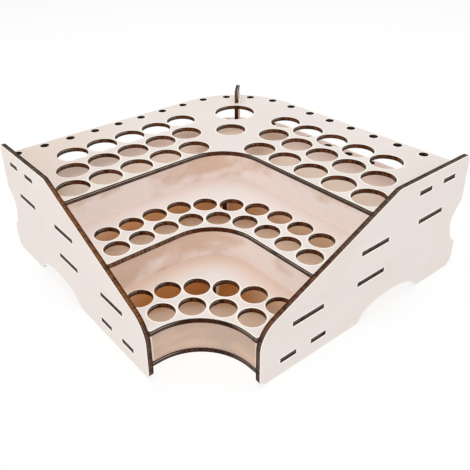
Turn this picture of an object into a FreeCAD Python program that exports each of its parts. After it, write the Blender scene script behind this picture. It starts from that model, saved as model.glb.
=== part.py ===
import FreeCAD, Part
import math
import os

os.makedirs("parts", exist_ok=True)

# Corner paint rack, cut from flat plywood and pushed together without screws.
# Pieces are drawn in wall coordinates: s runs from the back corner along the left wall of the room,
# t from the same corner along the right wall, and z is the height above the table.
# Both side panels stand at the far ends of the walls, so the whole rack is a square with a hollow front.
# A finished piece is turned so that the hollow front looks along -Y and the diagonal is the Y axis.

# Boards and their joints
board = 5.0                  # plywood of the flat pieces
bent_board = 3.0             # thin plywood of the curved walls
slot_play = 0.1              # room on each side of a tab in its slot
short_tab = 20.0
long_tab = 40.0
hole_gap = 3.0               # least wood between a row's last hole and the strip or board beside it
cut_overrun = 2.0            # how far a cutting block stands past the board

# Shelf levels, at the plates' upper faces
base_top = 19.5
shelf_pitch = 34.5

# Shelf plates: the front edges step forward from tier to tier, and depths run across a plate
top_front = 151.0            # front edge of the top plate, from the wall
middle_tier_step = 76.5
lowest_tier_step = 67.5
lower_depth = 175.0          # the two lower plates stop short of the walls
base_depth = 93.5
back_corner_round = 98.0     # the two upper plates
inner_corner_round = 50.0    # the two lower plates
upper_bend = 50.0            # hollow bend in the front edge of the two upper plates
lower_straight = 8.0         # straight stretch beside the hollow bend of the two lower plates
# Tab centres, as shares of the plate's depth from its back edge
top_tab_shares = [0.227, 0.493]
upper_tab_shares = [0.259, 0.646]
lower_tab_shares = [0.166, 0.663]
base_tab_shares = [0.205, 0.626]

# Side panels, whose front edges are flush with the two lower plates
panel_reach = 70.0           # lowest front edge to the outer face of a side panel
top_rim = 14.5               # panel above the top plate
slope_lead = 32.5            # the level top edge ends this far behind the top plate's front edge
front_rim = 5.7              # the slope would meet the front edge this far above the lower plate
slope_turn_round = 12.0
front_round = 30.0
front_foot_round = 9.0
rear_foot_round = 13.0
top_corner_round = 6.0
# Cut-out under the panel, between the two feet
arch_start = 65.0
arch_end = 170.0
arch_height = 17.5
arch_length_shares = [0.0, 0.16, 0.36, 0.62, 0.79, 0.90, 1.0]
arch_height_shares = [0.0, 0.70, 1.0, 0.96, 0.74, 0.27, 0.0]
# Cut-out in the back edge of the panel
grip_start = 31.0
grip_end = 87.0
grip_depth = 14.3
grip_length_shares = [0.0, 0.10, 0.34, 0.58, 0.78, 0.90, 1.0]
grip_depth_shares = [0.0, 0.46, 0.93, 1.0, 0.55, 0.14, 0.0]

# Brush holes along the back edges
brush_bore = 10.6
brush_pitch = 33.9
brush_shift = 0.6
brush_edge = 9.0
beside_diagonal_share = 0.5  # first hole beside the diagonal, as a share of the pitch

# Bottle holes of the top plate
pot_bore = 36.0
pot_web = 2.4                # wood between two holes of a row and between two rows
pot_rim = 2.5                # wood in front of the front row
pot_panel_gap = 2.0          # wood between the front row and a side panel
pot_bend_shift = 2.2         # last hole of the front row is drawn towards the bend
jar_bore = 51.0
jar_gap = 5.2                # wood between the rib and the jar hole
middle_gap = 15.9            # wood between the jar hole and the middle hole

# Bottle holes of the two lower tiers, front row first
dropper_bore = 26.0
dropper_row_gap = 2.8        # wood between the two rows
upper_rim = 5.2              # wood in front of the front row
lower_rim = 4.2
upper_row_webs = [2.7, 2.6]  # wood between two holes of a row
lower_row_webs = [2.9, 2.2]
upper_start_shares = [0.0, 0.5]    # first hole beside the diagonal, as a share of the pitch
lower_start_shares = [0.5, 0.5]
upper_row_shifts = [0.0, -3.0]     # how far a row is moved to the right
lower_row_shifts = [0.0, 0.0]

# Curved walls
wall_setback = 1.0           # wall face behind the edge of the plate above it

# Centre rib, a stepped board on the diagonal
fin_margin = 5.4             # wood of the top plate behind the fin
fin_depth = 30.0
fin_step = 4.0               # the fin is narrower than the spine, so the top plate rests on the spine's step
fin_rise = 2.0               # fin above the side panels
fin_round = 2.0
rib_foot = 58.0
rib_foot_round = 13.0
rib_tab = 30.0
upper_rib_gap = 25.4         # the rib ends this far behind the back row of bottle holes
lower_rib_gap = 1.8

# Sizes that follow from the ones above
upper_front = top_front + middle_tier_step
lower_front = upper_front + lowest_tier_step
panel_depth = lower_front
side_length = lower_front + panel_reach
panel_inner = side_length - board
lower_bend = panel_inner - lower_straight - lower_front
lower_back = lower_front - lower_depth
base_back = lower_front - base_depth
lower_top = base_top + shelf_pitch
upper_top = lower_top + shelf_pitch
top_top = upper_top + shelf_pitch
panel_height = top_top + top_rim
slope_start = top_front - slope_lead
slope_end_height = lower_top + front_rim
pot_pitch = pot_bore + pot_web
pot_edge = pot_bore / 2.0 + pot_rim
pot_margin = board + pot_panel_gap + pot_bore / 2.0
brush_strip = brush_edge + brush_bore / 2.0 + hole_gap
pot_rows = 1 + int((top_front - pot_edge - pot_bore / 2.0 - brush_strip) / pot_pitch)
pots_in_row = 1 + int((side_length - pot_margin - top_front - pot_bore / 2.0) / pot_pitch)
front_edge_steps = [0.0, dropper_bore + dropper_row_gap]
upper_row_edges = [dropper_bore / 2.0 + upper_rim + step for step in front_edge_steps]
lower_row_edges = [dropper_bore / 2.0 + lower_rim + step for step in front_edge_steps]
quarter_turn = math.pi / 2.0
wall_turn = 225.0            # degrees that turn the s axis to the left wall's direction

# Distances from the back corner along the diagonal
diagonal = math.sqrt(2.0)
back_tip = back_corner_round * (diagonal - 1.0)
base_tip = base_back * diagonal + inner_corner_round * (diagonal - 1.0)
front_tip = (side_length + panel_depth) / diagonal
setback = (back_tip + front_tip) / 2.0
rib_back = back_tip + fin_margin
fin_front = rib_back + fin_depth
rib_spine = fin_front + fin_step
rib_foot_front = rib_back + rib_foot
jar_centre = rib_spine + jar_gap + jar_bore / 2.0
middle_pot_centre = jar_centre + jar_bore / 2.0 + middle_gap + pot_bore / 2.0
upper_row_back = (upper_front + upper_bend) * diagonal - upper_bend - upper_row_edges[-1] - dropper_bore / 2.0
lower_row_back = (lower_front + lower_bend) * diagonal - lower_bend - lower_row_edges[-1] - dropper_bore / 2.0
rib_upper_step = upper_row_back - upper_rib_gap
rib_lower_step = lower_row_back - lower_rib_gap
upper_rib_tab = (rib_spine + rib_upper_step) / 2.0
lower_rib_tab = (rib_upper_step + rib_lower_step) / 2.0
base_rib_tab = (base_tip + rib_lower_step) / 2.0
fin_top = panel_height + fin_rise

origin = FreeCAD.Vector(0, 0, 0)
up = FreeCAD.Vector(0, 0, 1)
sideways = FreeCAD.Vector(1, 0, 0)


def from_walls(shape):
    """Turn a piece from wall coordinates to the front view, centred over the origin."""
    placed = shape.copy()
    placed.rotate(origin, up, wall_turn)
    placed.translate(FreeCAD.Vector(0, setback, 0))
    return placed


def on_floor(point):
    """Point of a plan drawing."""
    return FreeCAD.Vector(point[0], point[1], 0)


def lines_through(points):
    """Straight edges from each point to the next."""
    return [Part.LineSegment(a, b).toShape() for a, b in zip(points, points[1:])]


def corner_arc(start, corner, end):
    """Arc that rounds a square corner of a plan drawing from start to end."""
    centre = start + end - corner
    middle = centre + (corner - centre).normalize() * (start - centre).Length
    return Part.Arc(start, middle, end).toShape()


def rounded_path(corners, closed):
    """Edges along corners given as (point, radius); a radius of zero leaves the corner sharp."""
    starts = []
    ends = []
    arcs = []
    count = len(corners)
    for index, (point, radius) in enumerate(corners):
        is_end = not closed and index in (0, count - 1)
        if radius == 0 or is_end:
            starts.append(point)
            ends.append(point)
            arcs.append(None)
            continue
        before = (corners[index - 1][0] - point).normalize()
        after = (corners[(index + 1) % count][0] - point).normalize()
        half_angle = before.getAngle(after) / 2.0
        reach = radius / math.tan(half_angle)
        centre = point + (before + after).normalize() * (radius / math.sin(half_angle))
        first = point + before * reach
        last = point + after * reach
        middle = centre + (point - centre).normalize() * radius
        starts.append(first)
        ends.append(last)
        arcs.append(Part.Arc(first, middle, last).toShape())
    edges = []
    for index in range(count):
        if arcs[index]:
            edges.append(arcs[index])
        if closed or index < count - 1:
            edges += lines_through([ends[index], starts[(index + 1) % count]])
    return edges


def smooth_cut(points, way_in, way_out):
    """Smooth edge through points that starts and ends in the given directions."""
    curve = Part.BSplineCurve()
    curve.interpolate(points, InitialTangent=way_in, FinalTangent=way_out)
    return curve.toShape()


def holed_board(outline, holes, direction):
    """Board with holes: one outer wire and a list of inner wires, thickened along direction."""
    face = Part.makeFace([outline] + holes, "Part::FaceMakerBullseye")
    return face.extrude(direction)


def round_holes(places, bore):
    """Circles of one bore at (s, t) places."""
    wires = []
    for place in places:
        circle = Part.Circle(on_floor(place), up, bore / 2.0)
        wires.append(Part.Wire([circle.toShape()]))
    return wires


def on_path(line, centre, along):
    """Place at a distance from the diagonal, on a path that follows both walls and bends between them.

    line is the distance of the straight stretches from the walls, centre that of the bend's centre.
    """
    radius = centre - line
    half_bend = radius * quarter_turn / 2.0
    reach = abs(along)
    if reach > half_bend:
        place = (line, centre + reach - half_bend)
    else:
        angle = quarter_turn / 2.0 - reach / radius
        place = (centre - radius * math.cos(angle), centre - radius * math.sin(angle))
    return place if along > 0 else (place[1], place[0])


def row_on_path(line, centre, bore, web, start_share, shift):
    """Evenly spaced places on a path, from panel to panel, as many as end clear of the side panels."""
    pitch = bore + web
    half_length = (centre - line) * quarter_turn / 2.0 + panel_inner - centre
    free = half_length - abs(shift) - bore / 2.0 - hole_gap
    last = int(free / pitch - start_share) + start_share
    count = int(2 * last) + 1
    return [on_path(line, centre, shift + (index - last) * pitch) for index in range(count)]


def pot_places():
    """Staggered straight rows of the top plate, mirrored across the diagonal, and the middle hole."""
    places = [(middle_pot_centre / diagonal, middle_pot_centre / diagonal)]
    for row in range(pot_rows):
        distance = top_front - pot_edge - row * pot_pitch
        first = side_length - pot_margin - row * pot_pitch / 2.0
        for index in range(pots_in_row):
            next_to_bend = row == 0 and index == pots_in_row - 1
            shift = pot_bend_shift if next_to_bend else 0
            place = (first - index * pot_pitch, distance + shift)
            places += [place, (place[1], place[0])]
    return places


def dropper_rows(front, bend, edges, webs, start_shares, shifts):
    """Two rows that follow the hollow front edge of a tier."""
    return [row_on_path(front - edge, front + bend, dropper_bore, web, start_share, shift)
            for edge, web, start_share, shift in zip(edges, webs, start_shares, shifts)]


def upper_rows():
    """Bottle holes of the middle tier."""
    return dropper_rows(upper_front, upper_bend, upper_row_edges, upper_row_webs, upper_start_shares,
                        upper_row_shifts)


def lower_rows():
    """Bottle holes of the lowest tier."""
    return dropper_rows(lower_front, lower_bend, lower_row_edges, lower_row_webs, lower_start_shares,
                        lower_row_shifts)


def brush_places():
    """Small holes along the back edges of the two upper plates, none of them on the diagonal."""
    return row_on_path(brush_edge, back_corner_round, brush_bore, brush_pitch - brush_bore,
                       beside_diagonal_share, brush_shift)


def tab_centres(back, front, shares):
    """Tab centres between the back and the front edge of a plate."""
    return [back + share * (front - back) for share in shares]


def plate_outline(back, back_round, front, bend, tab_shares, tab_width):
    """Plan of a shelf plate: tabs at both sides, a rounded back corner and a hollow front corner."""
    left = [(panel_inner, back)]
    for centre in tab_centres(back, front, tab_shares):
        near = centre - tab_width / 2.0
        far = centre + tab_width / 2.0
        left += [(panel_inner, near), (side_length, near), (side_length, far), (panel_inner, far)]
    left += [(panel_inner, front), (front + bend, front)]
    right = [(t, s) for s, t in reversed(left)]
    back_left = on_floor((back + back_round, back))
    back_right = on_floor((back, back + back_round))
    left = [on_floor(point) for point in left]
    right = [on_floor(point) for point in right]
    edges = lines_through(left)
    edges.append(corner_arc(left[-1], on_floor((front, front)), right[0]))
    edges += lines_through(right + [back_right])
    edges.append(corner_arc(back_right, on_floor((back, back)), back_left))
    edges += lines_through([back_left, left[0]])
    return Part.Wire(edges)


def plate(top, outline, holes):
    """Shelf plate whose upper face is at the given height, in the front view."""
    solid = holed_board(outline, holes, up * board)
    solid.translate(up * (top - board))
    return from_walls(solid)


def rib_slot(near, far, top):
    """Block that cuts the centre rib's slot in a plate, from near to far along the diagonal."""
    width = board + 2 * slot_play
    length = far - near + 2 * slot_play
    block = Part.makeBox(width, length, board + 2 * cut_overrun)
    corner = FreeCAD.Vector(-width / 2.0, setback - far - slot_play, top - board - cut_overrun)
    block.translate(corner)
    return block


def tab_slot(centre, top):
    """Block that cuts the slot for one of the rib's tabs."""
    return rib_slot(centre - rib_tab / 2.0, centre + rib_tab / 2.0, top)


def top_plate():
    """Top plate with pot holes, one large jar hole, brush holes and the slot for the rib's fin."""
    outline = plate_outline(0, back_corner_round, top_front, upper_bend, top_tab_shares, short_tab)
    holes = round_holes(pot_places(), pot_bore)
    holes += round_holes([(jar_centre / diagonal, jar_centre / diagonal)], jar_bore)
    holes += round_holes(brush_places(), brush_bore)
    return plate(top_top, outline, holes).cut(rib_slot(rib_back, fin_front, top_top))


def upper_middle_plate():
    """Floor of the top tier and upper face of the middle tier."""
    outline = plate_outline(0, back_corner_round, upper_front, upper_bend, upper_tab_shares, long_tab)
    holes = round_holes(sum(upper_rows(), []), dropper_bore) + round_holes(brush_places(), brush_bore)
    solid = plate(upper_top, outline, holes)
    solid = solid.cut(rib_slot(rib_back, rib_spine, upper_top))
    return solid.cut(tab_slot(upper_rib_tab, upper_top))


def lower_middle_plate():
    """Floor of the middle tier and upper face of the lowest tier; the rib enters it from the back edge."""
    outline = plate_outline(lower_back, inner_corner_round, lower_front, lower_bend, lower_tab_shares,
                            long_tab)
    solid = plate(lower_top, outline, round_holes(sum(lower_rows(), []), dropper_bore))
    solid = solid.cut(rib_slot(rib_spine, rib_upper_step, lower_top))
    return solid.cut(tab_slot(lower_rib_tab, lower_top))


def base_plate():
    """Floor of the lowest tier, without bottle holes."""
    outline = plate_outline(base_back, inner_corner_round, lower_front, lower_bend, base_tab_shares,
                            short_tab)
    return plate(base_top, outline, []).cut(tab_slot(base_rib_tab, base_top))


def curved_wall(front, bend, floor):
    """Thin board bent along the front edge of the plate above it, between two plates."""
    outer = front - wall_setback
    inner = outer - bent_board
    centre = front + bend
    edges = []
    for line in (outer, inner):
        near = on_floor((centre, line))
        far = on_floor((line, centre))
        edges += lines_through([on_floor((panel_inner, line)), near])
        edges.append(corner_arc(near, on_floor((line, line)), far))
        edges += lines_through([far, on_floor((line, panel_inner))])
    for swap in (False, True):
        ends = [(panel_inner, outer), (panel_inner, inner)]
        ends = [(t, s) if swap else (s, t) for s, t in ends]
        edges += lines_through([on_floor(point) for point in ends])
    outline = Part.Wire(Part.sortEdges(edges)[0])
    solid = holed_board(outline, [], up * (shelf_pitch - board))
    solid.translate(up * floor)
    return from_walls(solid)


def on_panel(t, z):
    """Point on the inner face of the left side panel."""
    return FreeCAD.Vector(panel_inner, t, z)


def panel_slot(centre, width, top):
    """Slot for a plate's tab in the left side panel."""
    near = centre - width / 2.0 - slot_play
    far = centre + width / 2.0 + slot_play
    low = top - board - slot_play
    high = top + slot_play
    corners = [on_panel(near, low), on_panel(far, low), on_panel(far, high), on_panel(near, high)]
    return Part.Wire(lines_through(corners + [corners[0]]))


def left_side_panel():
    """Side panel with two feet, a sloping top, a cut-out between the feet and one in the back edge."""
    arch = [on_panel(arch_start + (arch_end - arch_start) * along, arch_height * high)
            for along, high in zip(arch_length_shares, arch_height_shares)]
    grip = [on_panel(grip_depth * deep, grip_start + (grip_end - grip_start) * along)
            for along, deep in zip(grip_length_shares, grip_depth_shares)]
    front = [(arch[-1], 0), (on_panel(panel_depth, 0), front_foot_round),
             (on_panel(panel_depth, slope_end_height), front_round),
             (on_panel(slope_start, panel_height), slope_turn_round),
             (on_panel(0, panel_height), top_corner_round), (grip[-1], 0)]
    rear = [(grip[0], 0), (on_panel(0, 0), rear_foot_round), (arch[0], 0)]
    toward_front = FreeCAD.Vector(0, 1, 0)
    arch_entry = arch[1] - arch[0]
    grip_entry = grip[1] - grip[0]
    edges = rounded_path(front, closed=False)
    edges.append(smooth_cut(grip, grip_entry, up))
    edges += rounded_path(rear, closed=False)
    edges.append(smooth_cut(arch, arch_entry, toward_front))
    outline = Part.Wire(Part.sortEdges(edges)[0])
    slots = []
    for back, front, shares, width, top in (
            (0, top_front, top_tab_shares, short_tab, top_top),
            (0, upper_front, upper_tab_shares, long_tab, upper_top),
            (lower_back, lower_front, lower_tab_shares, long_tab, lower_top),
            (base_back, lower_front, base_tab_shares, short_tab, base_top)):
        slots += [panel_slot(centre, width, top) for centre in tab_centres(back, front, shares)]
    return from_walls(holed_board(outline, slots, sideways * board))


def centre_rib():
    """Stepped board that stands on the diagonal, carries the shelves and rises as a fin above them."""

    def tab_corners(centre, base, tip, towards_front):
        near = centre - rib_tab / 2.0
        far = centre + rib_tab / 2.0
        order = [(near, base), (near, tip), (far, tip), (far, base)]
        return order if towards_front else order[::-1]

    upper_tread = upper_top - board
    lower_tread = lower_top - board
    shoulder = top_top - board
    profile = [(rib_back, 0, rib_foot_round), (rib_back, fin_top, fin_round), (fin_front, fin_top, fin_round),
               (fin_front, shoulder, 0), (rib_spine, shoulder, 0), (rib_spine, upper_tread, 0)]
    profile += [(d, z, 0) for d, z in tab_corners(upper_rib_tab, upper_tread, upper_top, True)]
    profile += [(rib_upper_step, upper_tread, 0), (rib_upper_step, lower_tread, 0)]
    profile += [(d, z, 0) for d, z in tab_corners(lower_rib_tab, lower_tread, lower_top, True)]
    profile += [(rib_lower_step, lower_tread, 0), (rib_lower_step, base_top, 0)]
    profile += [(d, z, 0) for d, z in tab_corners(base_rib_tab, base_top, base_top - board, False)]
    profile += [(rib_foot_front, base_top, rib_foot_round), (rib_foot_front, 0, 0)]
    face_at = -board / 2.0
    corners = [(FreeCAD.Vector(face_at, setback - d, z), radius) for d, z, radius in profile]
    outline = Part.Wire(Part.sortEdges(rounded_path(corners, closed=True))[0])
    return holed_board(outline, [], sideways * board)


left_panel = left_side_panel()
pieces = {
    "left_side_panel": left_panel,
    "right_side_panel": left_panel.mirror(origin, sideways),
    "top_plate": top_plate(),
    "upper_middle_plate": upper_middle_plate(),
    "lower_middle_plate": lower_middle_plate(),
    "base_plate": base_plate(),
    "upper_curved_wall": curved_wall(top_front, upper_bend, upper_top),
    "middle_curved_wall": curved_wall(upper_front, upper_bend, lower_top),
    "lower_curved_wall": curved_wall(lower_front, lower_bend, base_top),
    "centre_rib": centre_rib(),
}
for node, shape in pieces.items():
    solid = shape.Solids[0]
    print(node, "solids", len(shape.Solids), "valid", solid.isValid(), "volume", round(solid.Volume))
    solid.exportStep("parts/" + node + ".step")
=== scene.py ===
"""Corner paint rack of laser-cut plywood: finish of its boards, and the floor, light and camera around it."""

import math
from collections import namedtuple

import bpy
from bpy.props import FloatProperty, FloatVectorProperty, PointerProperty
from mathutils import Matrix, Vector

bl_info = {
    "name": "Corner paint rack",
    "version": (1, 0, 0),
    "blender": (4, 5, 0),
    "location": "3D View > Sidebar > Paint rack",
    "description": "Finishes the plywood boards of a corner paint rack and sets up its studio",
    "category": "Object",
}

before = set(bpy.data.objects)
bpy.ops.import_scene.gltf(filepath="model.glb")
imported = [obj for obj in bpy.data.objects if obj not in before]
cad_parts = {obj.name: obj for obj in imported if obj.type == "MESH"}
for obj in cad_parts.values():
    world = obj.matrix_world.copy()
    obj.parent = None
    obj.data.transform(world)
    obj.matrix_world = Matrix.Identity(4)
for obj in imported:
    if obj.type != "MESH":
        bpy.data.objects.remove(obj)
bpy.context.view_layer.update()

# The rack stands in a corner of a room: shelves lie level, and their edges follow the left and the right wall
UP = Vector((0, 0, 1))
SIDEWAYS = Vector((1, 0, 0))
FORWARD = Vector((0, -1, 0))
LEFT_OUTWARD = Vector((-1, -1, 0)).normalized()
RIGHT_OUTWARD = Vector((1, -1, 0)).normalized()

MILLIMETRE = 0.001
WHITE = (1, 1, 1, 1)

# Bare wood: its sheen, how rough a face and a cut edge are, how deep the grain is, and how much of it shows
# on a flat and on a bent board
SHEEN = 0.03
FACE_ROUGHNESS = 0.7
CUT_ROUGHNESS = 0.5
GRAIN_DEPTH = 0.3 * MILLIMETRE
BOARD_GRAIN = 0.25
BENT_GRAIN = 0.1

# Pattern in the wood: repeats per metre along the grain, beside it and across the board, and the noise's
# detail and roughness
Pattern = namedtuple("Pattern", "scale detail roughness")
FIBRES = Pattern((9, 320, 320), 4.0, 0.6)
BANDS = Pattern((3, 28, 28), 3.0, 0.5)
CLOUDS = Pattern((16, 16, 16), 2.0, 0.4)
STREAKS = Pattern((420, 420, 60), 2.0, 0.6)
PATCHES = Pattern((90, 90, 90), 3.0, 0.5)
# Patterns in the bent boards: repeats per metre sideways, forwards and upwards; the clouds lean a little
BENT_FIBRES = Pattern((260, 260, 10), 4.0, 0.6)
BENT_CLOUDS = Pattern((30, 30, 55), 3.0, 0.5)
BENT_CLOUD_LEAN = (0.0, 0.15, 0.0)

# Pale core in a cut edge: its middle, its reach and the reach of its heart, as shares of the thickness, and
# its strength
Core = namedtuple("Core", "middle reach heart strength")
CORES = (Core(0.68, 0.11, 0.05, 1.0), Core(0.30, 0.08, 0.03, 0.4))

# Painted deep shade in the holes of a shelf far behind its curved wall: strength, distance from the wall,
# middle and half width
Spot = namedtuple("Spot", "strength start middle half_width")
# Front edge of a shelf: its tone at the left, in the middle and at the right, and how far it shows a pale
# core at the left and at the right; these go by which way the edge faces, as painted light on charred wood
FrontEdge = namedtuple("FrontEdge", "left middle right left_lined right_lined")
# Shelf: the curved walls behind and at its front edge, how much painted warm shade it has behind the wall,
# whether light reaches its back edge, its spot of painted deep shade behind the wall, its painted shade
# beside the wall's foot, and its front edge
Shelf = namedtuple("Shelf", "node wall_behind wall_in_front tanned open_back spot foot_tone edge")
SHELVES = (
    Shelf(node="top_plate", wall_behind=None, wall_in_front="upper_curved_wall",
          tanned=None, open_back=True, spot=None, foot_tone=None,
          edge=FrontEdge((0.10, 0.05, 0.03), (0.14, 0.050, 0.027), (0.11, 0.067, 0.048), 1.0, 0.5)),
    Shelf(node="upper_middle_plate", wall_behind="upper_curved_wall", wall_in_front="middle_curved_wall",
          tanned=0.6, open_back=True, spot=None, foot_tone=(0.89, 0.76, 0.71),
          edge=FrontEdge((0.24, 0.12, 0.07), (0.100, 0.028, 0.010), (0.07, 0.04, 0.03), 0.1, 1.0)),
    Shelf(node="lower_middle_plate", wall_behind="middle_curved_wall", wall_in_front="lower_curved_wall",
          tanned=0.95, open_back=False, foot_tone=(0.88, 0.69, 0.575),
          spot=Spot(0.75, 64 * MILLIMETRE, -45 * MILLIMETRE, 125 * MILLIMETRE),
          edge=FrontEdge((0.10, 0.045, 0.030), (0.060, 0.020, 0.009), (0.09, 0.05, 0.035), 0.8, 0.8)),
    Shelf(node="base_plate", wall_behind="lower_curved_wall", wall_in_front="lower_curved_wall",
          tanned=0.95, open_back=False, foot_tone=(0.83, 0.76, 0.72),
          spot=Spot(1.0, 50 * MILLIMETRE, -25 * MILLIMETRE, 95 * MILLIMETRE),
          edge=FrontEdge((0.07, 0.035, 0.025), (0.075, 0.035, 0.024), (0.10, 0.06, 0.045), 0.9, 0.4)),
)
# Looks on a shelf, each from where it starts to where it is full
# The painted warm shade behind a wall fades out towards an open back edge, where light reaches in
OPEN_BACK = (20 * MILLIMETRE, 60 * MILLIMETRE)        # tan, in front of the back edge
WARM_LEFT = (-100 * MILLIMETRE, -200 * MILLIMETRE)    # left part of the top plate, from the middle
BEHIND_WALL = (0.5 * MILLIMETRE, -0.5 * MILLIMETRE)   # in front of a curved wall's back
# Painted shade on a shelf beside a curved wall's foot, fading out forwards
BESIDE_FOOT = (40 * MILLIMETRE, 5 * MILLIMETRE)       # in front of a curved wall's back
FRONT_EDGE = (2 * MILLIMETRE, 3 * MILLIMETRE)         # in front of the back of the wall under the edge
TAB_END = (1 * MILLIMETRE, 2 * MILLIMETRE)            # past the inner face of a side panel
# Spot of painted deep shade: how far it fades backwards, and the even part of its width
SPOT_FADE = 22 * MILLIMETRE
SPOT_EVEN_SHARE = 0.42

# Curved wall: whether it is the lowest, and the middle and reach of its warm spot of painted shade from left
# to right
Wall = namedtuple("Wall", "node lowest spot_middle spot_reach")
WALLS = (
    Wall("upper_curved_wall", False, -15 * MILLIMETRE, 75 * MILLIMETRE),
    Wall("middle_curved_wall", False, -70 * MILLIMETRE, 150 * MILLIMETRE),
    Wall("lower_curved_wall", True, 0.0, 100 * MILLIMETRE),
)
# Looks on a curved wall, each from where it starts to where it is full
WALL_END = (-2.5 * MILLIMETRE, -1.5 * MILLIMETRE)     # past the inner face of a side panel
WALL_FRONT = (1 * MILLIMETRE, 2 * MILLIMETRE)         # in front of the wall's back

# How far the heads of the two slopes reach down
LEFT_HEAD = 10 * MILLIMETRE
RIGHT_HEAD = 60 * MILLIMETRE

# Looks on the rib, each from where it starts to where it is full, above the top plate's face
FIN_HEAD = (6 * MILLIMETRE, 10 * MILLIMETRE)
UNDER_TOP = (0 * MILLIMETRE, -2 * MILLIMETRE)

# Softbox: its place, its width and height, and the setting that holds its power
Softbox = namedtuple("Softbox", "name place size power")
SOFTBOXES = (
    Softbox("overhead", (0, 0.35, 1.6), (2.4, 2.4), "ceiling_power"),
    Softbox("left", (-1.25, -1.25, 0.65), (1.6, 1.2), "left_power"),
    Softbox("right", (1.25, -1.25, 0.65), (1.6, 1.2), "right_power"),
)
SOFTBOX_AIM = Vector((0, 0, 50 * MILLIMETRE))
FLOOR_GREY = 0.2
FLOOR_ROUGHNESS = 0.9
PHOTO_SIDE = 470
NEAREST_VIEW = 10 * MILLIMETRE

# Sockets of a Mix node for colours
MIX_AMOUNT, MIX_FIRST, MIX_SECOND, MIX_RESULT = 0, 6, 7, 2


class PlywoodSettings(bpy.types.PropertyGroup):
    """Sizes and colours of the laser-cut plywood"""

    face_tone: FloatVectorProperty(
        name="Face", description="Bare veneer in the open", subtype="COLOR",
        default=(0.83, 0.76, 0.72), min=0, max=1)
    cloud_tone: FloatVectorProperty(
        name="Clouds", description="Warm clouds in the veneer", subtype="COLOR",
        default=(0.78, 0.66, 0.58), min=0, max=1)
    # Inside: painted warm shade on the veneer behind the curved walls, on the shelves' undersides, on the
    # bent boards' backs and on the rib under the top plate
    inside_shade_tone: FloatVectorProperty(
        name="Inside", description="Veneer behind the curved walls, tanned by smoke of the cutting",
        subtype="COLOR", default=(0.95, 0.77, 0.62), min=0, max=1)
    # Deep inside: painted deep shade on the veneer in the holes far behind the curved walls
    deep_shade_tone: FloatVectorProperty(
        name="Deep inside", description="Veneer far behind the curved walls", subtype="COLOR",
        default=(0.70, 0.36, 0.13), min=0, max=1)
    # Head and foot tones of the bent boards are painted shading: shade at the head under the shelf above,
    # lighter bounce light at the foot; the lowest board is painted in darker shade at head and foot
    wall_head_shade_tone: FloatVectorProperty(
        name="Bent board's head", description="Thin bent board under the shelf above it", subtype="COLOR",
        default=(0.75, 0.55, 0.435), min=0, max=1)
    wall_foot_bounce_tone: FloatVectorProperty(
        name="Bent board's foot", description="Thin bent board above the shelf it stands on", subtype="COLOR",
        default=(0.93, 0.81, 0.755), min=0, max=1)
    lowest_head_shade_tone: FloatVectorProperty(
        name="Lowest bent board's head", description="Thin bent board of the lowest tier, at its head",
        subtype="COLOR", default=(0.54, 0.40, 0.32), min=0, max=1)
    lowest_foot_shade_tone: FloatVectorProperty(
        name="Lowest bent board's foot", description="Thin bent board of the lowest tier, at its foot",
        subtype="COLOR", default=(0.68, 0.49, 0.38), min=0, max=1)
    # Rim and its width: a painted highlight on the veneer beside a cut
    rim_highlight_tone: FloatVectorProperty(
        name="Rim", description="Clean rim of the veneer beside a cut", subtype="COLOR",
        default=(1.0, 0.95, 0.87), min=0, max=1)
    rim_width: FloatProperty(
        name="Rim width", description="How far the clean rim reaches from a cut", subtype="DISTANCE",
        default=2.0 * MILLIMETRE, min=0)
    char_tone: FloatVectorProperty(
        name="Char", description="Charred wood of a cut edge", subtype="COLOR",
        default=(0.012, 0.005, 0.003), min=0, max=1)
    # Ember brown: charred wood of the hole walls, painted as lit where the walls face the light
    lit_ember_tone: FloatVectorProperty(
        name="Ember brown", description="Browned wood inside the holes", subtype="COLOR",
        default=(0.15, 0.055, 0.024), min=0, max=1)
    core_tone: FloatVectorProperty(
        name="Core", description="Pale core in a cut edge", subtype="COLOR",
        default=(0.52, 0.40, 0.33), min=0, max=1)
    # Slope tones: charred slopes of the side panels, painted as lit brown where they face up
    left_slope_tone: FloatVectorProperty(
        name="Left slope", description="Browned slope of the left side panel", subtype="COLOR",
        default=(0.23, 0.085, 0.024), min=0, max=1)
    right_slope_tone: FloatVectorProperty(
        name="Right slope", description="Browned slope of the right side panel", subtype="COLOR",
        default=(0.17, 0.060, 0.030), min=0, max=1)
    slope_head_tone: FloatVectorProperty(
        name="Head of the slopes", description="Level edges of the side panels and the slopes' heads",
        subtype="COLOR", default=(0.13, 0.085, 0.060), min=0, max=1)
    front_edge_tone: FloatVectorProperty(
        name="Front edges", description="Upright front edges of the side panels", subtype="COLOR",
        default=(0.125, 0.062, 0.047), min=0, max=1)
    brush_strip: FloatProperty(
        name="Brush strip", description="Depth of the strip of brush holes along the back",
        subtype="DISTANCE", default=16 * MILLIMETRE, min=0)


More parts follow.
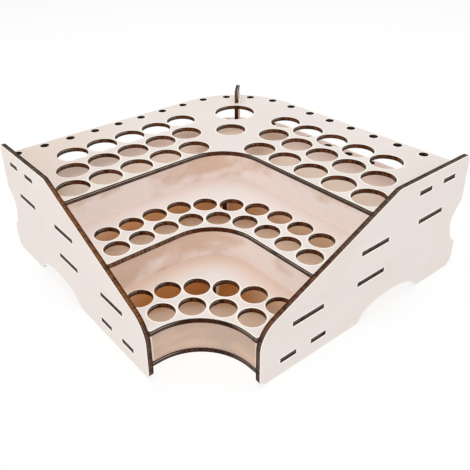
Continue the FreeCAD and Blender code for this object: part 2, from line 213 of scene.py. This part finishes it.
class StudioSettings(bpy.types.PropertyGroup):
    """Camera, floor and light"""

    camera_place: FloatVectorProperty(
        name="Camera", description="Place of the camera", subtype="TRANSLATION",
        default=(0.0614, -0.5984, 0.407))
    camera_turn: FloatProperty(
        name="Camera turn", description="Turn of the camera round the rack", subtype="ANGLE", default=0.139)
    camera_fall: FloatProperty(
        name="Camera fall", description="How steeply the camera looks down", subtype="ANGLE", default=0.489)
    camera_roll: FloatProperty(
        name="Camera roll", description="Lean of the camera", subtype="ANGLE", default=-0.035)
    camera_reach: FloatProperty(
        name="Focal length", description="Focal length in pixels of the photograph", default=598.4)
    camera_centre: FloatVectorProperty(
        name="Optical centre", description="Optical centre in pixels of the photograph", size=2,
        default=(205.4, 187.8))
    floor_side: FloatProperty(
        name="Floor", description="Side of the floor", subtype="DISTANCE", default=30.0)
    floor_glow: FloatProperty(
        name="Floor glow", description="Light of the floor itself; keeps its shadows faint", default=0.82)
    sky: FloatProperty(
        name="Sky", description="Even light from all round", default=0.40)
    ceiling_power: FloatProperty(
        name="Overhead softbox", description="Power of the softbox overhead", subtype="POWER", default=21.4)
    left_power: FloatProperty(
        name="Left softbox", description="Power of the softbox at the left", subtype="POWER", default=10.2)
    right_power: FloatProperty(
        name="Right softbox", description="Power of the softbox at the right", subtype="POWER", default=8.3)


class Wire:
    """A shader socket that can stand in a Python expression; each operation adds its node."""

    def __init__(self, tree, socket=None):
        self.tree = tree
        self.socket = socket

    def node(self, kind, settings, inputs, output=0):
        """Adds a node: its settings first, then the values or links of its sockets."""
        made = self.tree.nodes.new("ShaderNode" + kind)
        for name, value in settings.items():
            setattr(made, name, value)
        for name, value in inputs.items():
            if isinstance(value, Wire):
                self.tree.links.new(value.socket, made.inputs[name])
            else:
                made.inputs[name].default_value = value
        return Wire(self.tree, made.outputs[output])

    def feed(self, socket):
        """Links this wire to a shader's socket."""
        self.tree.links.new(self.socket, socket)

    def maths(self, operation, first, second=0.0):
        """Adds a Math node for two numbers."""
        return self.node("Math", {"operation": operation}, {0: first, 1: second})

    def __add__(self, other):
        return self.maths("ADD", self, other)

    def __radd__(self, other):
        return self.maths("ADD", other, self)

    def __sub__(self, other):
        return self.maths("SUBTRACT", self, other)

    def __rsub__(self, other):
        return self.maths("SUBTRACT", other, self)

    def __mul__(self, other):
        return self.maths("MULTIPLY", self, other)

    def __rmul__(self, other):
        return self.maths("MULTIPLY", other, self)

    def __pow__(self, exponent):
        return self.maths("POWER", self, exponent)

    def __abs__(self):
        return self.maths("ABSOLUTE", self)

    def at_least(self, other):
        """The larger of two numbers."""
        return self.maths("MAXIMUM", self, other)

    def dot(self, direction):
        """How far a place lies in a direction."""
        return self.node("VectorMath", {"operation": "DOT_PRODUCT"}, {0: self, 1: direction}, "Value")

    def ramp(self, low, high):
        """Rises smoothly from 0 at low to 1 at high, or falls where low is the larger."""
        settings = {"interpolation_type": "SMOOTHSTEP"}
        if low < high:
            return self.node("MapRange", settings, {"Value": self, "From Min": low, "From Max": high})
        return 1.0 - self.node("MapRange", settings, {"Value": self, "From Min": high, "From Max": low})

    def noise(self, pattern):
        """Noise with its own scale along each axis."""
        placed = self.node("Mapping", {}, {"Vector": self, "Scale": pattern.scale})
        return self.node("TexNoise", {}, {"Vector": placed, "Scale": 1.0, "Detail": pattern.detail,
                                          "Roughness": pattern.roughness})

    def towards(self, colour, amount):
        """This colour, mixed with another by an amount."""
        return mixed(self, colour, amount)


def mixed(first, second, amount):
    """Two colours mixed, of which at least one is a wire or the amount is."""
    wire = next(value for value in (amount, first, second) if isinstance(value, Wire))
    inputs = {MIX_AMOUNT: amount, MIX_FIRST: opaque(first), MIX_SECOND: opaque(second)}
    return wire.node("Mix", {"data_type": "RGBA"}, inputs, MIX_RESULT)


def opaque(colour):
    """A colour with four channels, or the wire as it is."""
    return colour if isinstance(colour, Wire) else (*colour, 1.0)


def shade(colour, strength):
    """A colour made darker, or a little lighter."""
    if isinstance(colour, Wire):
        return mixed((0, 0, 0), colour, strength)
    return [channel * strength for channel in colour]


def extent(node, direction):
    """Where a board starts and ends in a direction."""
    reaches = [vertex.co.dot(direction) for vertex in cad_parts[node].data.vertices]
    return min(reaches), max(reaches)


def back_path(node):
    """Straight line and bend centre of a board's edge on the side of the room's walls."""
    line = extent(node, RIGHT_OUTWARD)[0]
    nearest = extent(node, (LEFT_OUTWARD + RIGHT_OUTWARD) / 2)[0]
    centre = (nearest - line * math.sqrt(0.5)) / (1 - math.sqrt(0.5))
    return line, centre


def in_front_of(place, path):
    """Distance of a place in front of a path that follows both walls of the room; negative behind it."""
    line, centre = path
    left = (centre - place.dot(LEFT_OUTWARD)).at_least(0.0)
    right = (centre - place.dot(RIGHT_OUTWARD)).at_least(0.0)
    return (centre - line) - (left * left + right * right) ** 0.5


def past_panels(place):
    """Distance of a place past the inner face of the nearer side panel; negative between the panels."""
    inner_face = extent("left_side_panel", LEFT_OUTWARD)[0]
    return place.dot(LEFT_OUTWARD).at_least(place.dot(RIGHT_OUTWARD)) - inner_face


def new_material(name):
    """Empty material, its Principled shader, and the wire that starts its tree."""
    material = bpy.data.materials.new(name)
    material.use_nodes = True
    return material, material.node_tree.nodes["Principled BSDF"], Wire(material.node_tree)


def finish_board(node, material):
    """Gives a board its finish."""
    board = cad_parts[node]
    board.data.materials.clear()
    board.data.materials.append(material)


class Board:
    """Wires and looks that the flat boards share, in a material of its own."""

    def __init__(self, node, across, grain, settings):
        self.node = node
        self.settings = settings
        self.material, self.shader, self.start = new_material(node + "_wood")
        self.place = self.start.node("TexCoord", {}, {}, "Object")
        self.normal = self.start.node("TexCoord", {}, {}, "Normal")
        beside = across.cross(grain)
        turn = Matrix((grain, beside, across)).to_euler()
        self.turned = self.start.node("Mapping", {}, {"Vector": self.place, "Rotation": turn})
        low, high = extent(node, across)
        self.depth_share = (self.place.dot(across) - low) * (1.0 / (high - low))
        self.is_cut = abs(self.normal.dot(across)).ramp(0.75, 0.45)
        self.fibres = self.turned.noise(FIBRES)
        self.streaks = self.turned.noise(STREAKS)

    def veneer(self):
        """Face of a board: fine fibres, wide bands and soft clouds."""
        settings = self.settings
        clouds = self.turned.noise(CLOUDS).ramp(0.45, 0.75)
        bands = self.turned.noise(BANDS).ramp(0.5, 0.75)
        fibres = self.fibres.ramp(0.5, 0.8)
        face = mixed(settings.face_tone, settings.cloud_tone, clouds * 0.25)
        face = face.towards(shade(settings.face_tone, 0.84), fibres * 0.22)
        return face.towards(shade(settings.face_tone, 0.92), bands * 0.3)

    def beside_cut(self, outer=0.99, inner=0.85):
        """1 in the rim beside a cut, 0 away from it; the limits are shares of open wood around a place."""
        open_share = self.start.node("AmbientOcclusion", {"inside": True, "only_local": True, "samples": 8},
                                     {"Distance": self.settings.rim_width}, "AO")
        return open_share.ramp(outer, inner)

    def pale_core(self, core):
        """Stripe along a cut edge where a pale core shows."""
        return abs(self.depth_share - core.middle).ramp(core.reach, core.heart) * core.strength

    def cut_edge(self, lit_brown, lit_ember_tone, lines=0.7):
        """Laser-cut edge: charred plies round a thin pale core, or all brown between darker lines, which
        paints light on the char.
        """
        settings = self.settings
        patches = self.turned.noise(PATCHES)
        upper_core, lower_core = (self.pale_core(core) for core in CORES)
        core = upper_core.at_least(lower_core) * self.streaks.ramp(0.20, 0.45)
        charred = mixed(settings.char_tone, shade(lit_ember_tone, 0.5), patches.ramp(0.45, 0.7) * 0.6)
        lined = charred.towards(settings.core_tone, core * patches.ramp(0.20, 0.45))
        outer_lines = abs(self.depth_share - 0.5).ramp(0.30, 0.44) * lines
        hatch = self.streaks.ramp(0.42, 0.60) * 0.6
        dark = outer_lines.at_least(hatch) + patches.ramp(0.50, 0.65) * 0.3
        brown = mixed(shade(lit_ember_tone, 1.15), settings.char_tone, dark)
        return mixed(lined, brown, lit_brown)

    def finish(self, face, cut):
        """Joins face and cut edge into the board's material."""
        face.towards(cut, self.is_cut).feed(self.shader.inputs["Base Color"])
        roughness = FACE_ROUGHNESS - self.is_cut * (FACE_ROUGHNESS - CUT_ROUGHNESS)
        roughness.feed(self.shader.inputs["Roughness"])
        self.shader.inputs["Specular IOR Level"].default_value = SHEEN
        height = self.fibres * 0.5 + self.streaks * self.is_cut
        bump = {"Height": height, "Strength": BOARD_GRAIN, "Distance": GRAIN_DEPTH}
        self.start.node("Bump", {}, bump).feed(self.shader.inputs["Normal"])
        finish_board(self.node, self.material)


class RACK_OT_side_panels(bpy.types.Operator):
    """Finish the two side panels"""

    bl_idname = "rack.side_panels"
    bl_label = "Side panels"

    def execute(self, context):
        settings = context.scene.rack_plywood
        self.finish_panel("left_side_panel", LEFT_OUTWARD, settings.left_slope_tone, LEFT_HEAD, settings)
        self.finish_panel("right_side_panel", RIGHT_OUTWARD, settings.right_slope_tone, RIGHT_HEAD, settings)
        return {"FINISHED"}

    def finish_panel(self, node, outward, slope_tone, head_reach, settings):
        """Pale faces with a painted highlight beside the cuts; edges facing up or forwards are painted lit
        brown, with a dark line along the inner side.
        """
        board = Board(node, outward, UP.cross(outward), settings)
        # Painted highlight on the veneer beside the cuts
        face = board.veneer().towards(settings.rim_highlight_tone, board.beside_cut() * 0.7)
        rising = board.normal.dot(UP)
        front = board.normal.dot(FORWARD).ramp(0.45, 0.65)
        head = extent(node, UP)[1]
        below_head = board.place.dot(UP).ramp(head, head - head_reach)
        tone = mixed(settings.slope_head_tone, slope_tone, below_head)
        tone = tone.towards(settings.front_edge_tone, front)
        # Edges facing up or forwards are painted lit brown: painted light on the char
        lit_brown = rising.ramp(0.15, 0.5).at_least(front) * 0.9
        cut = board.cut_edge(lit_brown, tone, lines=0.2)
        inner_line = board.depth_share.ramp(0.5, 0.0) * 0.6
        board.finish(face, cut.towards(settings.char_tone, inner_line))


class RACK_OT_shelves(bpy.types.Operator):
    """Finish the four shelf plates"""

    bl_idname = "rack.shelves"
    bl_label = "Shelf plates"

    def execute(self, context):
        for shelf in SHELVES:
            self.finish_shelf(shelf, context.scene.rack_plywood)
        return {"FINISHED"}

    def finish_shelf(self, shelf, settings):
        """Pale in the open with painted warm shade behind the curved wall, charred edges, and edges painted
        lit brown by which way they face.
        """
        board = Board(shelf.node, UP, SIDEWAYS, settings)
        facing_right = board.normal.dot(SIDEWAYS)
        behind_strip = in_front_of(board.place, back_path(shelf.node))
        strip = behind_strip.ramp(settings.brush_strip, 0.9 * settings.brush_strip)
        tab_end = past_panels(board.place).ramp(*TAB_END)
        plain = 1.0 - strip.at_least(tab_end)
        # Hole walls facing neither far left nor far right are painted lit brown, the others show charred
        # plies round a pale core: painted light by which way they face
        lit_side = facing_right.ramp(0.62, 0.30) * facing_right.ramp(-0.96, -0.80)
        hole = board.cut_edge(lit_side * plain, settings.lit_ember_tone)
        at_front = in_front_of(board.place, back_path(shelf.wall_in_front)).ramp(*FRONT_EDGE)
        cut = hole.towards(self.front_edge(board, shelf.edge, facing_right, plain), at_front)
        dark = (strip * 0.8).at_least(tab_end * 0.6)
        scorched_line = board.beside_cut(0.72, 0.60) * at_front * 0.8
        face = self.shelf_face(board, shelf, settings).towards(settings.char_tone, scorched_line)
        board.finish(face, cut.towards(settings.char_tone, dark))

    def front_edge(self, board, edge, facing_right, plain):
        """Front edge of a shelf: painted lit brown in the middle, with a pale core towards its ends, by which
        way it faces.
        """
        at_left, at_right = facing_right.ramp(0.35, 0.62), facing_right.ramp(-0.35, -0.62)
        tone = mixed(edge.middle, edge.left, at_left).towards(edge.right, at_right)
        lit_brown = (1.0 - at_left * edge.left_lined - at_right * edge.right_lined) * plain
        return board.cut_edge(lit_brown, tone)

    def shelf_face(self, board, shelf, settings):
        """Veneer of a shelf: painted highlights on the rims, painted warm shade below and behind the wall,
        painted shade beside the wall's foot.
        """
        # Painted highlight on the veneer beside the cuts
        face = board.veneer().towards(settings.rim_highlight_tone, board.beside_cut() * 0.8)
        # Painted warm shade on the shelf's underside
        underside = board.normal.dot(UP).ramp(0.0, -0.5)
        face = face.towards(settings.inside_shade_tone, underside * 0.9)
        rightwards = board.place.dot(SIDEWAYS)
        if not shelf.wall_behind:
            return face.towards(settings.cloud_tone, rightwards.ramp(*WARM_LEFT) * 0.8)
        before_wall = in_front_of(board.place, back_path(shelf.wall_behind))
        behind = before_wall.ramp(*BEHIND_WALL)
        if shelf.open_back:
            behind = behind * in_front_of(board.place, back_path(shelf.node)).ramp(*OPEN_BACK)
        # Painted warm shade behind the curved wall
        face = face.towards(settings.inside_shade_tone, behind * shelf.tanned)
        # Painted deep shade in a spot far behind the wall
        if shelf.spot:
            spot = shelf.spot
            even_part = SPOT_EVEN_SHARE * spot.half_width
            across_spot = abs(rightwards - spot.middle).ramp(spot.half_width, even_part)
            deep = before_wall.ramp(-spot.start, -spot.start - SPOT_FADE) * across_spot
            face = face.towards(settings.deep_shade_tone, deep * spot.strength)
        # Painted shade beside the curved wall's foot
        foot_shade = before_wall.ramp(*BESIDE_FOOT) * (1.0 - behind)
        return face.towards(shelf.foot_tone, foot_shade * 0.9)


class RACK_OT_curved_walls(bpy.types.Operator):
    """Finish the three bent boards"""

    bl_idname = "rack.curved_walls"
    bl_label = "Curved walls"

    def execute(self, context):
        settings = context.scene.rack_plywood
        for wall in WALLS:
            if wall.lowest:
                self.finish_wall(wall, settings.lowest_head_shade_tone, settings.lowest_foot_shade_tone, settings)
            else:
                self.finish_wall(wall, settings.wall_head_shade_tone, settings.wall_foot_bounce_tone, settings)
        return {"FINISHED"}

    def finish_wall(self, wall, head_shade_tone, foot_tone, settings):
        """Painted warm shade under the shelf above and in one spot, paler elsewhere, with soft slanting
        clouds.
        """
        material, shader, start = new_material(wall.node + "_wood")
        place = start.node("TexCoord", {}, {}, "Object")
        fibres = place.noise(BENT_FIBRES)
        leaning = start.node("Mapping", {}, {"Vector": place, "Rotation": BENT_CLOUD_LEAN})
        clouds = leaning.noise(BENT_CLOUDS)
        foot, head = extent(wall.node, UP)
        height_share = (place.dot(UP) - foot) * (1.0 / (head - foot))
        # Painted shade: darker towards the head and in one spot, mixed with the clouds
        spot = abs(place.dot(SIDEWAYS) - wall.spot_middle).ramp(wall.spot_reach, 0.0)
        shading_and_clouds = height_share * 0.7 + (clouds - 0.5) * 2.6 + spot * 0.8 - 0.35
        face = mixed(foot_tone, head_shade_tone, shading_and_clouds.ramp(0.0, 1.0))
        face = face.towards(shade(head_shade_tone, 0.9), fibres.ramp(0.5, 0.8) * 0.1)
        # Paler strip beside each side panel, in the tone of the painted rim highlight
        end = past_panels(place).ramp(*WALL_END)
        face = face.towards(settings.rim_highlight_tone, end * 0.5)
        # The wall's back takes the painted warm shade of the inside
        front = in_front_of(place, back_path(wall.node)).ramp(*WALL_FRONT)
        mixed(settings.inside_shade_tone, face, front).feed(shader.inputs["Base Color"])
        shader.inputs["Roughness"].default_value = FACE_ROUGHNESS
        shader.inputs["Specular IOR Level"].default_value = SHEEN
        bump = {"Height": fibres, "Strength": BENT_GRAIN, "Distance": GRAIN_DEPTH}
        start.node("Bump", {}, bump).feed(shader.inputs["Normal"])
        finish_board(wall.node, material)


class RACK_OT_centre_rib(bpy.types.Operator):
    """Finish the centre rib"""

    bl_idname = "rack.centre_rib"
    bl_label = "Centre rib"

    def execute(self, context):
        settings = context.scene.rack_plywood
        board = Board("centre_rib", SIDEWAYS, UP, settings)
        height, top = board.place.dot(UP), extent("top_plate", UP)[1]
        # Under the top plate's face the rib gets painted warm shade and darker edges
        shaded_under_top, fin_head = (height.ramp(top + start, top + full) for start, full in (UNDER_TOP, FIN_HEAD))
        face = board.veneer().towards(settings.inside_shade_tone, shaded_under_top * 0.8)
        cut = board.cut_edge(1.0 - fin_head, settings.lit_ember_tone)
        board.finish(face, cut.towards(settings.char_tone, shaded_under_top * 0.5))
        return {"FINISHED"}


class RACK_OT_stage(bpy.types.Operator):
    """Set up the floor, the light and the camera"""

    bl_idname = "rack.stage"
    bl_label = "Studio"

    def execute(self, context):
        studio = context.scene.rack_studio
        self.add_floor(context, studio)
        self.add_sky(context, studio)
        for softbox in SOFTBOXES:
            self.add_softbox(context, softbox, getattr(studio, softbox.power))
        self.add_camera(context, studio)
        context.scene.view_settings.view_transform = "Standard"
        return {"FINISHED"}

    def add_floor(self, context, studio):
        """White floor that glows a little, so that the rack hardly shades it."""
        bpy.ops.object.select_all(action="DESELECT")
        bpy.ops.mesh.primitive_plane_add(size=studio.floor_side)
        floor = context.object
        floor.name = "floor"
        material, shader, _ = new_material("floor_paint")
        shader.inputs["Base Color"].default_value = (FLOOR_GREY, FLOOR_GREY, FLOOR_GREY, 1)
        shader.inputs["Roughness"].default_value = FLOOR_ROUGHNESS
        shader.inputs["Specular IOR Level"].default_value = 0.0
        shader.inputs["Emission Color"].default_value = WHITE
        shader.inputs["Emission Strength"].default_value = studio.floor_glow
        floor.data.materials.append(material)

    def add_sky(self, context, studio):
        """Even light from all round."""
        world = bpy.data.worlds.new("studio")
        context.scene.world = world
        world.use_nodes = True
        background = world.node_tree.nodes["Background"]
        background.inputs["Color"].default_value = WHITE
        background.inputs["Strength"].default_value = studio.sky

    def add_softbox(self, context, softbox, power):
        """Rectangular softbox that looks at the rack."""
        bpy.ops.object.light_add(type="AREA", location=softbox.place)
        light = context.object
        light.name = softbox.name
        light.data.shape = "RECTANGLE"
        light.data.size, light.data.size_y = softbox.size
        light.data.energy = power
        aim = SOFTBOX_AIM - light.location
        light.rotation_euler = aim.to_track_quat("-Z", "Y").to_euler()

    def add_camera(self, context, studio):
        """Camera at the photograph's place, with its lens and framing."""
        turn, fall, roll = studio.camera_turn, studio.camera_fall, studio.camera_roll
        back = Vector((math.sin(turn) * math.cos(fall), -math.cos(turn) * math.cos(fall), math.sin(fall)))
        right = (-back).cross(UP).normalized()
        top = right.cross(-back)
        leaned_right = right * math.cos(roll) + top * math.sin(roll)
        leaned_top = top * math.cos(roll) - right * math.sin(roll)
        bpy.ops.object.camera_add()
        camera = context.object
        turn_matrix = Matrix((leaned_right, leaned_top, back)).transposed().to_4x4()
        camera.matrix_world = Matrix.Translation(studio.camera_place) @ turn_matrix
        lens = camera.data
        lens.lens = studio.camera_reach * lens.sensor_width / PHOTO_SIDE
        lens.shift_x = 0.5 - studio.camera_centre[0] / PHOTO_SIDE
        lens.shift_y = studio.camera_centre[1] / PHOTO_SIDE - 0.5
        lens.clip_start = NEAREST_VIEW
        context.scene.camera = camera


class RACK_PT_panel(bpy.types.Panel):
    """Settings and steps of the paint rack"""

    bl_idname = "RACK_PT_panel"
    bl_label = "Paint rack"
    bl_space_type = "VIEW_3D"
    bl_region_type = "UI"
    bl_category = "Paint rack"

    def draw(self, context):
        layout = self.layout
        for settings in (context.scene.rack_plywood, context.scene.rack_studio):
            column = layout.column()
            for name in settings.bl_rna.properties.keys():
                if name not in ("rna_type", "name"):
                    column.prop(settings, name)
        for operator in OPERATORS:
            layout.operator(operator.bl_idname)


OPERATORS = (RACK_OT_side_panels, RACK_OT_shelves, RACK_OT_curved_walls, RACK_OT_centre_rib, RACK_OT_stage)
CLASSES = (PlywoodSettings, StudioSettings, *OPERATORS, RACK_PT_panel)


def register():
    """Makes the settings, the operators and the panel known."""
    for cls in CLASSES:
        bpy.utils.register_class(cls)
    bpy.types.Scene.rack_plywood = PointerProperty(type=PlywoodSettings)
    bpy.types.Scene.rack_studio = PointerProperty(type=StudioSettings)


def unregister():
    """Takes back what register did."""
    del bpy.types.Scene.rack_studio
    del bpy.types.Scene.rack_plywood
    for cls in reversed(CLASSES):
        bpy.utils.unregister_class(cls)


def main():
    """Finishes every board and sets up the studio."""
    register()
    bpy.ops.rack.side_panels()
    bpy.ops.rack.shelves()
    bpy.ops.rack.curved_walls()
    bpy.ops.rack.centre_rib()
    bpy.ops.rack.stage()


if __name__ == "__main__":
    main()
